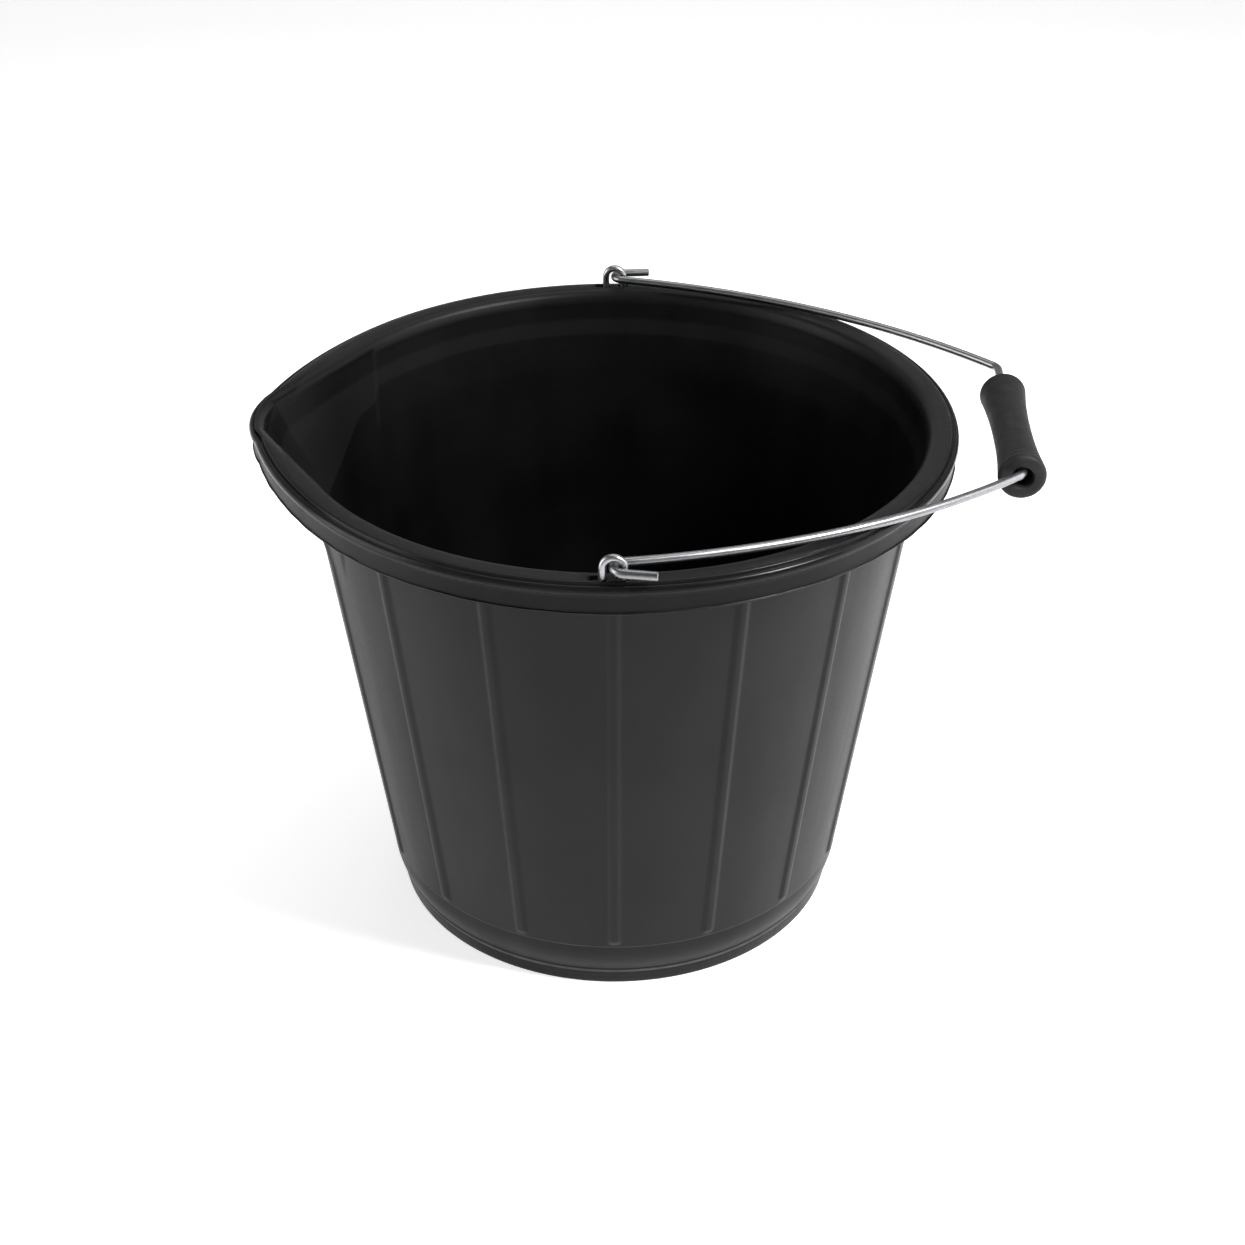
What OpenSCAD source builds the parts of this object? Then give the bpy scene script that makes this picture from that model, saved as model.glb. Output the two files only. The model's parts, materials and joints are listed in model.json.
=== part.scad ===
// Pouring bucket: a ribbed plastic shell with a turned-over rim and a blunt pouring lip,
// two wire ears stapled through the rim, a wire bail hooked into them and a waisted tube grip.
// Millimetres, +Z up. The origin is on the bucket's axis, in the plane that the foot ring stands on.
// The pouring lip points to -X, the ears are at -Y and +Y, and the bail lies on the rim at +X.

/* [Bucket] */
// Height from the foot ring to the top of the rim
bucket_h = 256; // [230:1:290]
// Outer radius of the wall just above its foot
wall_foot_r = 117.5; // [108:0.5:120]
// Outer radius of the wall where it runs up under the rim
wall_top_r = 146; // [140:0.5:146]
// Thickness of the wall
wall_t = 2.2; // [1.6:0.1:2.6]
// Thickness of the floor
floor_t = 3; // [2:0.1:5]
// Height of the ledge where the thicker wall starts
ledge_z = 27; // [24:1:32]
// How far the wall stands proud of the corner below the ledge
ledge_step = 0.9; // [0.4:0.1:1.2]

/* [Foot ring] */
// Outer radius of the foot ring
foot_r = 110.5; // [104:0.5:111]
// Width of the foot ring
foot_w = 6.5; // [4:0.5:10]
// Height of the foot ring
foot_h = 7; // [5:0.5:9]
// Height of the underside of the floor above the ground
floor_gap = 4.5; // [2:0.5:5]

/* [Rim] */
// Outermost radius of the rim, over its bead
rim_r = 162.5; // [160:0.5:166]
// Radius of the mouth at the inner edge of the rim
mouth_r = 148.5; // [148:0.5:150]
// Thickness of the flat flange on top
flange_t = 2.2; // [1.8:0.1:2.6]
// Depth of the skirt that hangs from the outer edge
skirt_depth = 13.5; // [11:0.5:17]
// Thickness of the skirt
skirt_t = 2; // [1.6:0.1:2.4]
// How far the bead stands out of the skirt
bead_out = 1.5; // [1:0.1:2]
// Width of the step between the flange and the bead, seen from above
groove_w = 1.8; // [1:0.1:2.4]
// Drop of the step below the flange
groove_drop = 0.8; // [0.4:0.1:1.2]
// Height of the bead
bead_h = 4.2; // [3:0.1:5]
// Depth of the collar inside the mouth
collar_depth = 17; // [14:0.5:20]

/* [Pouring lip] */
// Distance from the axis to the tip of the lip
lip_reach = 172.8; // [170:0.2:176]
// Direction where the lip leaves the round rim, from the +X axis
lip_start_a = 142; // [140:1:146]
// Half the width of the blunt tip
lip_half_w = 26; // [20:1:30]
// How far the sides of the lip bow outwards
lip_side_bow = 4; // [2:0.5:5]
// Half the width of the pouring notch at its inner edge
notch_half_w = 14; // [10:1:18]
// Distance from the axis to the inner edge of the notch
notch_reach = 165; // [163:0.2:166]
// Height where the throat below the lip starts to leave the wall
throat_z = 203; // [190:1:215]
// Half the angle that the throat takes at its lower end
throat_half_a = 30; // [24:1:33]

/* [Ribs] */
// Number of upright ribs round the wall
rib_count = 16; // [8:1:24]
// Width of a rib
rib_w = 6.4; // [4:0.2:8]
// How far a rib stands out of the wall
rib_out = 1.3; // [0.8:0.1:1.6]

/* [Ears] */
// Distance from the axis to each ear
ear_y = 156; // [155.5:0.1:156.2]
// Diameter of the ear wire
ear_wire_d = 3.5; // [3:0.1:3.6]
// Radius of the arch, at the centre of its wire
arch_r = 4.55; // [4.5:0.05:4.8]
// Height of the bail's hinge line above the rim
hinge_up = 5.2; // [5:0.1:6]
// Diameter of the holes that the legs pass through
ear_hole_d = 5.4; // [4.6:0.1:5.6]
// Length of each clinched foot under the flange
clinch_len = 5; // [3:0.5:8]

/* [Bail] */
// Diameter of the bail wire
bail_wire_d = 4; // [3.6:0.1:4.2]
// Distance from the hinge line to the straight part that holds the grip
bail_reach = 187; // [184:0.5:192]
// Skew of the straight part, because the bail lies a little askew in its loose ears
bail_skew = 3; // [0:0.5:3]
// Turn of the bends beside the grip
corner_turn = 46; // [45:1:48]
// Radius of the bend beside the grip
corner_r = 7; // [6:0.5:9]
// Heading of each arm where it reaches its hook, from the +X axis
arm_end_a = 170; // [168:0.5:170.5]
// Radius of the hook that passes through the ear
hook_r = 5; // [4.8:0.1:5.2]
// Outward flare of the hook's tail
tail_flare = 6; // [2:1:10]
// Length of the hook's tail
tail_len = 14; // [10:1:18]
// Droop of the bail where it lies on the rim
bail_droop = 1.4; // [1.2:0.05:1.4]

/* [Grip] */
// Length of the grip
grip_len = 90; // [80:1:92]
// Outer diameter at the ends of the grip
grip_end_d = 22; // [18:0.5:23]
// Outer diameter at the waist of the grip
grip_waist_d = 17.8; // [15:0.2:19]
// Diameter of the bore
grip_bore_d = 10; // [9.6:0.1:10.4]
// Rounding of the grip's ends
grip_round = 2.5; // [1:0.5:3]
// Where the grip has slid to along the wire, from the middle between the ears
grip_shift = -19; // [-19:0.5:0]

/* [Hidden] */
$fn = 96;
cut = 1;

flange_z = bucket_h - flange_t;
step_z = bucket_h - groove_drop;
skirt_z = step_z - skirt_depth;
collar_z = bucket_h - collar_depth;
wall_slope = (wall_top_r - wall_foot_r) / (collar_z - ledge_z);
wall_lean = atan(wall_slope);
collar_in = 1.2;
collar_r = mouth_r - collar_in;
collar_blend = 4;
floor_z = floor_gap + floor_t;
rib_end_gap = 3;
notch_start_a = lip_start_a + 3;
hinge_z = bucket_h + hinge_up;
wire_gap = 0.1;
collar_proud = 0.06;
collar_w = 0.8;
clinch_bite = 0.05;
grip_gap = 0.4;
hook_start = [hook_r * (1 - sin(arm_end_a)), ear_y + hook_r * cos(arm_end_a)];
throat_sink = 0.7;

// Outer radius of the wall at a height
function wall_r(z) = wall_foot_r + wall_slope * (z - ledge_z);

// Points of an arc from p to q that bows to the right of the way from p to q
function bowed(p, q, bow, n = 8) =
  let (chord = q - p, side = [chord[1], -chord[0]] / norm(chord))
  [for (i = [0:n]) p + chord * i / n + side * bow * 4 * (i / n) * (1 - i / n)];

// Mirror image of a list of points in the lip's centre line, in reverse order
function mirrored(points) = [for (i = [len(points) - 1:-1:0]) [points[i][0], -points[i][1]]];

// Plan of the rim with its pouring lip, drawn in from its outermost edge
module rim_plan(inset) {
  circle(r = rim_r - inset);
  lip_plan(rim_r - inset, lip_start_a, lip_reach - inset, lip_half_w - 0.4 * inset, lip_side_bow, 6);
}

// Plan of the mouth with its notch, grown outwards
module mouth_plan(grow) {
  circle(r = mouth_r + grow);
  notch_plan(grow);
}

module notch_plan(grow) {
  lip_plan(mouth_r + grow, notch_start_a, notch_reach + grow, notch_half_w + 0.6 * grow, 0.5, 1.6);
}

// Half plans on each side of the centre line, joined
module lip_plan(r, start_a, reach, half_w, side_bow, tip_bow) {
  start = r * [cos(start_a), sin(start_a)];
  corner = [tip_bow - reach, half_w];
  side = bowed(start, corner, side_bow);
  tip = bowed(corner, [corner[0], -half_w], tip_bow);
  polygon(concat([[0, 0]], side, tip, mirrored(side)));
}

// Outside of the shell: foot ring, rounded corner, ledge, wall and collar
module shell_outside() {
  corner_start = [foot_r + 2.2, foot_h + 1.6];
  corner_end = [wall_r(ledge_z) - ledge_step, ledge_z - 5];
  rotate_extrude()
    polygon(concat(
      [[0, floor_gap], [foot_r - foot_w, floor_gap], [foot_r - foot_w + 1, 0], [foot_r, 0],
       [foot_r + 0.6, foot_h]],
      bowed(corner_start, corner_end, 1.2),
      [[wall_r(ledge_z) - ledge_step + 0.3, ledge_z - 0.5], [wall_r(ledge_z), ledge_z],
       [wall_top_r, collar_z], [collar_r + wall_t, collar_z + collar_blend],
       [collar_r + wall_t, flange_z + flange_t / 2], [0, flange_z + flange_t / 2]]
    ));
}

// Space inside the shell: rounded corner, wall, small step and collar
module shell_inside() {
  corner_start = [foot_r - 4, floor_z];
  corner_end = [wall_r(ledge_z) - wall_t - 0.4, ledge_z + 1];
  rotate_extrude()
    polygon(concat(
      [[0, floor_z]],
      bowed(corner_start, corner_end, 2.6),
      [[wall_top_r - wall_t, collar_z], [collar_r, collar_z + collar_blend / 3],
       [collar_r, bucket_h + cut], [0, bucket_h + cut]]
    ));
}

// Throat under the lip, from the wall up to the flange, grown outwards
module throat(grow, top_z) {
  hull() {
    translate([0, 0, throat_z])
      linear_extrude(0.1)
        throat_foot(wall_r(throat_z) - wall_t + grow - throat_sink);
    translate([0, 0, top_z - 0.1])
      linear_extrude(0.1)
        intersection() {
          notch_plan(grow);
          translate([-2 * rim_r - 60, -rim_r])
            square(2 * rim_r);
        }
  }
}

module throat_foot(r) {
  arc = [for (i = [-6:6]) r * [cos(180 + i * throat_half_a / 6), sin(180 + i * throat_half_a / 6)]];
  polygon(concat([[-r * cos(throat_half_a) + 12, 0]], arc));
}

// Rim solids: flange, step, bead and hanging skirt
module rim_band() {
  translate([0, 0, flange_z])
    linear_extrude(flange_t)
      rim_plan(bead_out + groove_w);
  translate([0, 0, flange_z])
    linear_extrude(step_z - flange_z)
      rim_plan(bead_out);
  translate([0, 0, step_z - bead_h])
    linear_extrude(bead_h - 0.2)
      difference() {
        rim_plan(0);
        rim_plan(bead_out + skirt_t);
      }
  translate([0, 0, skirt_z])
    linear_extrude(step_z - skirt_z)
      difference() {
        rim_plan(bead_out);
        rim_plan(bead_out + skirt_t);
      }
}

// One rib: a round bar sunk in the wall so that its soft crown stands out
module rib() {
  bar_r = (pow(rib_w / 2, 2) + pow(rib_out, 2)) / (2 * rib_out);
  sink = bar_r - rib_out;
  translate([wall_r(ledge_z) - sink, 0, ledge_z])
    rotate([0, wall_lean, 0])
      cylinder(r = bar_r, h = (flange_z - rib_end_gap - ledge_z) / cos(wall_lean));
}

module ear_holes() {
  for (side = [-1, 1], leg = [-1, 1])
    translate([leg * arch_r, side * ear_y, flange_z - cut])
      cylinder(d = ear_hole_d, h = flange_t + 2 * cut);
}

module bucket_body() {
  color("#2b2b2d")
    difference() {
      union() {
        shell_outside();
        throat(wall_t, flange_z + flange_t / 2);
        rim_band();
        for (i = [0:rib_count - 1])
          rotate([0, 0, -90 + i * 360 / rib_count])
            rib();
      }
      shell_inside();
      throat(0, flange_z + 0.1);
      translate([0, 0, flange_z])
        linear_extrude(flange_t + cut)
          mouth_plan(0);
      ear_holes();
    }
}

// A round wire laid along a list of steps, each ["go", length] or ["turn", radius, angle].
// It starts at the origin heading along +X and turns in the XY plane; a positive angle turns left.
// With a gap, each step stops that far short of its ends and a thin collar closes every joint.
module wire(steps, d, gap = 0, i = 0) {
  if (i < len(steps)) {
    s = steps[i];
    if (gap > 0)
      wire_collar(d);
    if (s[0] == "go") {
      translate([gap, 0, 0])
        rotate([0, 90, 0])
          cylinder(d = d, h = s[1] - gap);
      translate([s[1], 0, 0])
        wire(steps, d, gap, i + 1);
    } else {
      left = sign(s[2]);
      gap_a = gap / s[1] * 180 / PI;
      translate([0, left * s[1], 0]) {
        rotate([0, 0, gap_a + (left > 0 ? -90 : 90 + s[2])])
          rotate_extrude(angle = abs(s[2]) - 2 * gap_a)
            translate([s[1], 0])
              circle(d = d, $fn = 32);
        rotate([0, 0, s[2]])
          translate([0, -left * s[1], 0])
            wire(steps, d, gap, i + 1);
      }
    }
  }
}

module wire_collar(d) {
  rotate([0, 90, 0])
    cylinder(d = d + 2 * collar_proud, h = collar_w, center = true);
}

// Staple: two legs through the flange, an arch on top and two clinched feet below
module ear() {
  bend_r = 2.6;
  foot_z = flange_z - ear_wire_d / 2 + clinch_bite;
  leg = hinge_z - foot_z - bend_r;
  color("#b9bcc0")
    translate([-arch_r - bend_r - clinch_len, 0, foot_z])
      rotate([90, 0, 0])
        wire([["go", clinch_len], ["turn", bend_r, 90], ["go", leg], ["turn", arch_r, -180],
              ["go", leg], ["turn", bend_r, 90], ["go", clinch_len]], ear_wire_d);
}

module front_ear() {
  translate([0, -ear_y, 0])
    ear();
}

module back_ear() {
  translate([0, ear_y, 0])
    ear();
}

// The bail lies in a flat plane of its own: a straight part, then a bend, a bowed arm and a hook
// on each side. Each side is worked out as if its ear were at +Y.
function arc_way(from_a, to_a) = [sin(to_a) - sin(from_a), cos(from_a) - cos(to_a)];
function straight_a(side) = 90 - side * bail_skew;
function bend_end_a(side) = straight_a(side) + corner_turn;
function straight_way(side) = [cos(straight_a(side)), sin(straight_a(side))];
function arm_way(side) = arc_way(bend_end_a(side), arm_end_a);
function way_left(side) =
  hook_start - [bail_reach, 0] - corner_r * arc_way(straight_a(side), bend_end_a(side));
function straight_len(side) =
  cross(way_left(side), arm_way(side)) / cross(straight_way(side), arm_way(side));
function arm_r(side) =
  cross(straight_way(side), way_left(side)) / cross(straight_way(side), arm_way(side));

// Puts a child that lies along Y on the bail's straight part, lowered under the wire
module on_bail(lower = 0) {
  translate([0, 0, hinge_z - lower])
    rotate([0, bail_droop, 0])
      translate([bail_reach, 0, 0])
        rotate([0, 0, -bail_skew])
          children();
}

module bail_wire() {
  color("#c4c6c9")
    on_bail() {
      translate([0, wire_gap - straight_len(-1), 0])
        rotate([-90, 0, 0])
          cylinder(d = bail_wire_d, h = straight_len(-1) + straight_len(1) - 2 * wire_gap);
      for (side = [-1, 1])
        translate([0, side * straight_len(side), 0])
          rotate([0, 0, side * 90])
            wire([["turn", corner_r, side * corner_turn],
                  ["turn", arm_r(side), side * (arm_end_a - bend_end_a(side))],
                  ["turn", hook_r, side * (tail_flare - arm_end_a)], ["go", tail_len]],
                 bail_wire_d, wire_gap);
    }
}

// Grip: a waisted tube that hangs on the wire
module hand_grip() {
  drop = (grip_bore_d - bail_wire_d) / 2 - grip_gap;
  half = grip_len / 2;
  end_r = grip_end_d / 2;
  waist_r = grip_waist_d / 2;
  swell = 2.2;
  waist = [for (i = [-10:10]) [waist_r + (end_r - waist_r) * pow(abs(i) / 10, swell),
                               (half - grip_round) * i / 10]];
  round_top = [for (a = [15:15:90]) [end_r - grip_round + grip_round * cos(a),
                                     half - grip_round + grip_round * sin(a)]];
  round_low = [for (a = [-90:15:-15]) [end_r - grip_round + grip_round * cos(a),
                                       grip_round - half + grip_round * sin(a)]];
  color("#38383a")
    on_bail(drop)
      translate([0, grip_shift, 0])
        rotate([90, 0, 0])
          difference() {
            rotate_extrude()
              polygon(concat([[0, -half]], round_low, waist, round_top, [[0, half]]));
            translate([0, 0, -half - cut])
              cylinder(d = grip_bore_d, h = grip_len + 2 * cut);
          }
}

bucket_body();
front_ear();
back_ear();
bail_wire();
hand_grip();
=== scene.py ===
"""Looks of a ribbed pouring bucket: a moulded shell, two wire ears, a wire bail and a tube grip.

Lengths inside the shape functions are millimetres in the row frame; meshes are made in metres.
The lip points to -X, the ears are at -Y and +Y, and the bail lies on the rim at +X.
"""

import json
import math

import bmesh
import bpy
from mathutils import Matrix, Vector


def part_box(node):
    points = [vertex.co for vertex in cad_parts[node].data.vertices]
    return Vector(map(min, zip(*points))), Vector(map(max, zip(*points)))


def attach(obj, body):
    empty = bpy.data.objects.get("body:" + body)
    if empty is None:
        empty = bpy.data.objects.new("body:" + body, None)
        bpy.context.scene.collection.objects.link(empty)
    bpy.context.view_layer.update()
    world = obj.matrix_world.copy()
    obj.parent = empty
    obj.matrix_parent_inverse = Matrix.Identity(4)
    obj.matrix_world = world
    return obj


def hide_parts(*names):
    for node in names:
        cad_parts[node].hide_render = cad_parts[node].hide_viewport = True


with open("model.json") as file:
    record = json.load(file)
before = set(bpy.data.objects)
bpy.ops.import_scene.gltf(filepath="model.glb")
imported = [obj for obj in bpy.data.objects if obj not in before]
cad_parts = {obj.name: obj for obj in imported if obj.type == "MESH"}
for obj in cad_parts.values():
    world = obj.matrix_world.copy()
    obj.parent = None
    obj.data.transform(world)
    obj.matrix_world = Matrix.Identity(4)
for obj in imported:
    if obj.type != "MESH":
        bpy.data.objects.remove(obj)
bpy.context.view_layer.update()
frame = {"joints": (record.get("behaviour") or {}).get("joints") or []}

MM = 0.001

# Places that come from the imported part
SHELL_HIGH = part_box("bucket_body")[1]
EAR_LOW, EAR_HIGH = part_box("front_ear")
JOINTS = {joint["name"]: joint for joint in frame["joints"]}

BUCKET_H = SHELL_HIGH.z / MM
RIM_R = SHELL_HIGH.y / MM
HINGE_Z = JOINTS["bail_hinge"]["pos_m"][2] / MM
EAR_Y = -(EAR_LOW.y + EAR_HIGH.y) / 2 / MM

# Shell
WALL_FOOT_R = 117.5
WALL_TOP_R = 146.0
WALL_T = 2.2
LEDGE_Z = 27.0
COLLAR_Z = 239.0
COLLAR_R = 147.3
COLLAR_TOP_Z = 250.0
COLLAR_BLEND = 4.5
INSIDE_LOW_R = 114.9
INSIDE_BEND_Z = 215.0
FLANGE_UNDER_Z = 253.8
FLOOR_Z = 7.5
FLOOR_UNDER_Z = 4.5
FOOT_R = 110.5
MOUTH_R = 148.5
MOUTH_FILLET_R = 4.8
RIM_FLAT_INSET = 3.95

# Pouring lip: start angle, reach and half width of its outline, then of the notch inside it
LIP_START_A, LIP_REACH, LIP_HALF_W, LIP_SIDE_BOW, LIP_TIP_BOW = 142.0, 172.8, 26.0, 4.0, 6.0
NOTCH_START_A, NOTCH_REACH, NOTCH_HALF_W, NOTCH_SIDE_BOW, NOTCH_TIP_BOW = 145.0, 165.0, 14.0, 0.5, 1.6
THROAT_Z = 203.0
THROAT_HALF_A = 30.0
THROAT_TOP_HALF_A = 35.0
THROAT_BLEND_A = 60.0

# Ribs
RIB_COUNT = 16
RIB_CROWN = 1.0
RIB_HALF_W = 3.8
RIB_OUT = 1.1
RIB_TOP_Z = 250.0
RIB_FOOT_FADE = 3.6
RIB_TOP_FADE = 4.0

# Ears
EAR_WIRE_R = 1.75
ARCH_R = 4.55
EAR_BEND_R = 2.6
CLINCH_LEN = 5.0

# Ear holes in the flange: half widths, and where the ends of each hole's straight part are
HOLE_R, HOLE_HALF_Y = 2.6, 2.5
HOLE_ENDS = ((-8.6, -4.9), (4.55, 4.55))
HOLE_LOW_Z, HOLE_HIGH_Z = 252.0, 258.0

# Bail
BAIL_WIRE_R = 2.0
BAIL_REACH = 187.0
BAIL_DROOP = math.radians(1.4)
BAIL_SKEW = 3.0
CORNER_R = 7.0
CORNER_TURN = 46.0
ARM_END_A = 170.0
HOOK_R = 5.0
TAIL_FLARE = 6.0
TAIL_LEN = 14.0

# Grip
GRIP_LEN = 90.0
GRIP_END_R = 10.99
GRIP_WAIST_R = 8.9
GRIP_BORE_R = 5.0
GRIP_ROUND = 2.5
GRIP_SIDES = 96

# Edges sharper than these angles stay crisp
MOULDED_CREASE = math.radians(50)
WIRE_CREASE = math.radians(40)

# Where the shell's finish, its painted shade and light and its painted highlight change, in metres: each
# fade runs from the first number to the second
SKIRT_SHADE_LOW_FADE = (0.2405, 0.2422)
SKIRT_SHADE_HIGH_FADE = (0.2505, 0.2545)
FLAT_PAINTED_LIGHT_FADE = (0.2545, 0.2555)
BEAD_Z_FADE = (0.2500, 0.2515)
BEAD_R_FADE = (0.1565, 0.1585)
FOOT_EDGE_HIGHLIGHT_BAND = (0.00745, 0.0080, 0.0086, 0.0091)
FOOT_EDGE_HIGHLIGHT_MIN_R = 0.112
FOOT_MARKS_TOP_Z = 0.0078
MID_WALL_R, MID_WALL_SLOPE = 0.1127, 0.1344


def smooth(x):
    """0 below 0, 1 above 1 and an easy curve between."""
    x = min(1.0, max(0.0, x))
    return x * x * (3 - 2 * x)


def bowed(p, q, bow, n=16):
    """Points from p to q on an arc that bows to the right of the way."""
    dx, dy = q[0] - p[0], q[1] - p[1]
    length = math.hypot(dx, dy)
    side = (dy / length, -dx / length)
    points = []
    for i in range(n + 1):
        t = i / n
        out = bow * 4 * t * (1 - t)
        points.append((p[0] + dx * t + side[0] * out, p[1] + dy * t + side[1] * out))
    return points


def lip_outline(r, start_a, reach, half_w, side_bow, tip_bow):
    """Half of a lip's outline, as rising angle from -X and distance from the axis."""
    start = (r * math.cos(math.radians(start_a)), r * math.sin(math.radians(start_a)))
    corner = (tip_bow - reach, half_w)
    mirror = (corner[0], -half_w)
    points = bowed(start, corner, side_bow, 24)[:-1] + bowed(corner, mirror, tip_bow, 16)[:9]
    polar = [(180 - math.degrees(math.atan2(y, x)), math.hypot(x, y)) for x, y in points]
    return sorted(polar)


def polar_radius(outline, r, from_lip):
    """Distance from the axis to a plan with a lip, at an angle in degrees from -X."""
    if from_lip >= outline[-1][0]:
        return r
    if from_lip <= outline[0][0]:
        return max(r, outline[0][1])
    for (a0, r0), (a1, r1) in zip(outline, outline[1:]):
        if a0 <= from_lip <= a1:
            t = (from_lip - a0) / (a1 - a0)
            step = math.radians(a1 - a0)
            x = 1 / ((math.sin(step * (1 - t)) / r0 + math.sin(step * t) / r1) / math.sin(step))
            return max(r, x)
    return r


class Plan:
    """A round plan with a lip, drawn in or grown out from the part's own outline."""

    def __init__(self, r, start_a, reach, half_w, side_bow, tip_bow):
        self.r = r
        self.outline = lip_outline(r, start_a, reach, half_w, side_bow, tip_bow)

    def at(self, from_lip):
        return polar_radius(self.outline, self.r, abs(from_lip))


def rim_plan(inset):
    """The rim's outline, drawn in."""
    return Plan(
        RIM_R - inset,
        LIP_START_A,
        LIP_REACH - inset,
        LIP_HALF_W - 0.4 * inset,
        LIP_SIDE_BOW,
        LIP_TIP_BOW,
    )


def mouth_plan(grow):
    """The mouth's outline, grown out."""
    return Plan(
        MOUTH_R + grow,
        NOTCH_START_A,
        NOTCH_REACH + grow,
        NOTCH_HALF_W + 0.6 * grow,
        NOTCH_SIDE_BOW,
        NOTCH_TIP_BOW,
    )


# Half sections of the shell, as radius and height. On the floor: the raised gate mark and a low ring
GATE_MARK = [
    (2.0, FLOOR_Z + 0.9), (3.4, FLOOR_Z + 0.85), (4.2, FLOOR_Z + 0.5), (5.0, FLOOR_Z + 0.1), (6.5, FLOOR_Z),
]
FLOOR_RING = [
    (30, FLOOR_Z), (60, FLOOR_Z), (72, FLOOR_Z), (73, FLOOR_Z + 0.35), (76, FLOOR_Z + 0.35), (77, FLOOR_Z),
    (95, FLOOR_Z),
]
INSIDE_CORNER = bowed((FOOT_R - 4, FLOOR_Z), (INSIDE_LOW_R, LEDGE_Z + 1), 2.6, 10)

# Outside, going down: the ledge under the ribs, the corner, and the foot ring to the underside
LEDGE = [(117.45, 27.2), (117.35, 26.95), (117.2, 26.75), (117.12, 26.4), (117.1, 25.5), (117.02, 23.6)]
OUTSIDE_CORNER = bowed((116.9, 22.0), (112.9, 9.5), -0.7, 10)
FOOT_RING = [
    (112.92, 9.1), (113.02, 8.75), (113.14, 8.4), (113.22, 8.0), (113.2, 7.6), (113.15, 7.0),
    (113.0, 6.0), (112.7, 4.0), (112.35, 2.0), (112.1, 0.9), (111.8, 0.35), (111.3, 0.06),
    (110.7, 0.0), (105.2, 0.0), (104.6, 0.15), (104.3, 0.6), (104.1, 2.0), (104.0, 3.9), (103.6, 4.4),
]
UNDERSIDE = [
    (102, FLOOR_UNDER_Z), (80, FLOOR_UNDER_Z), (78.8, FLOOR_UNDER_Z - 0.1), (78, FLOOR_UNDER_Z - 0.7),
    (76, FLOOR_UNDER_Z - 0.7), (75.2, FLOOR_UNDER_Z - 0.1), (74, FLOOR_UNDER_Z), (40, FLOOR_UNDER_Z),
    (6, FLOOR_UNDER_Z), (5, FLOOR_UNDER_Z - 0.3), (3.4, FLOOR_UNDER_Z - 0.9),
]

# Section of the rim from the flat's outer edge over the groove and bead to the skirt, as inset and height
RIM_SECTION = [
    (RIM_FLAT_INSET, 256.0), (3.55, 255.93), (3.3, 255.7), (3.22, 255.3), (3.14, 254.9), (2.95, 254.65),
    (2.6, 254.65), (2.3, 254.85), (1.8, 255.05), (1.2, 254.98), (0.65, 254.55), (0.24, 253.9),
    (0.04, 253.2), (0.0, 252.5), (0.12, 251.8), (0.45, 251.25), (0.9, 250.9), (1.25, 250.6),
    (1.45, 250.1), (1.5, 249.2), (1.5, 247.0), (1.5, 245.0), (1.5, 243.4), (1.46, 242.8),
]
SKIRT_EDGE = [(1.4, 242.62), (0.95, 242.45), (0.85, 242.2), (1.05, 241.85)]
SKIRT_INSIDE = [
    (1.7, 241.72), (2.4, 241.7), (3.2, 241.8), (3.5, 242.3), (3.5, 252.4), (3.9, 253.3),
    (4.8, FLANGE_UNDER_Z),
]

# Rounding from the mouth's wall to the flat flange, as growth of the mouth's outline and height
MOUTH_FILLET = [
    (-0.6, 251.8), (-0.25, 253.0), (0.3, 254.0), (1.0, 254.8), (1.8, 255.35), (2.7, 255.72), (3.7, 255.92),
    (MOUTH_FILLET_R, 256.0),
]


def inner_wall_r(z):
    """Radius of the inside of the wall, which opens out softly towards the collar."""
    low_z = LEDGE_Z + 1
    slope = (WALL_TOP_R - WALL_T - INSIDE_LOW_R) / (COLLAR_Z - low_z)
    if z <= INSIDE_BEND_Z:
        return INSIDE_LOW_R + slope * (z - low_z)
    bend_r = INSIDE_LOW_R + slope * (INSIDE_BEND_Z - low_z)
    return bend_r + (COLLAR_R - bend_r) * min(1.0, (z - INSIDE_BEND_Z) / (COLLAR_TOP_Z - INSIDE_BEND_Z))


def outer_wall_r(z):
    """Radius of the outside of the wall between its ribs."""
    slope = (WALL_TOP_R - WALL_FOOT_R) / (COLLAR_Z - LEDGE_Z)
    cone = WALL_FOOT_R + slope * (min(z, COLLAR_Z) - LEDGE_Z)
    return cone + (COLLAR_R + WALL_T - WALL_TOP_R) * smooth((z - COLLAR_Z) / COLLAR_BLEND)


def rib_height(azimuth, r, z):
    """How far the nearest rib stands out of the wall at a point."""
    pitch = 360 / RIB_COUNT
    off = (azimuth + 90 + pitch / 2) % pitch - pitch / 2
    across = abs(math.radians(off)) * r
    flank = 1 - smooth((across - RIB_CROWN) / (RIB_HALF_W - RIB_CROWN))
    ends = smooth((z - LEDGE_Z - 1.0) / RIB_FOOT_FADE) * smooth((RIB_TOP_Z - z) / RIB_TOP_FADE)
    return RIB_OUT * flank * ends


def column_angles():
    """Angles from -X of the mesh's columns where they leave the rim: finer at the ribs and in the lip."""
    angles = set()
    pitch = 360 / RIB_COUNT
    rib_step, rib_columns, gap_columns = 0.29, 7, 12
    rib_edge = rib_step * rib_columns
    for i in range(RIB_COUNT):
        for k in range(-rib_columns, rib_columns + 1):
            angles.add(round((i * pitch + rib_step * k) % 360, 3))
        for k in range(1, gap_columns):
            angles.add(round(i * pitch + rib_edge + (pitch - 2 * rib_edge) * k / gap_columns, 3))
    lip_step, lip_half_a = 0.45, 50
    lip_columns = int(lip_half_a / lip_step)
    for k in range(-lip_columns, lip_columns + 1):
        angles.add(round((k * lip_step) % 360, 3))
    kept = []
    closest = 0.12
    for a in sorted(angles):
        if not kept or a - kept[-1] > closest:
            kept.append(a)
    return [a - 360 if a > 180 else a for a in kept]


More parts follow.
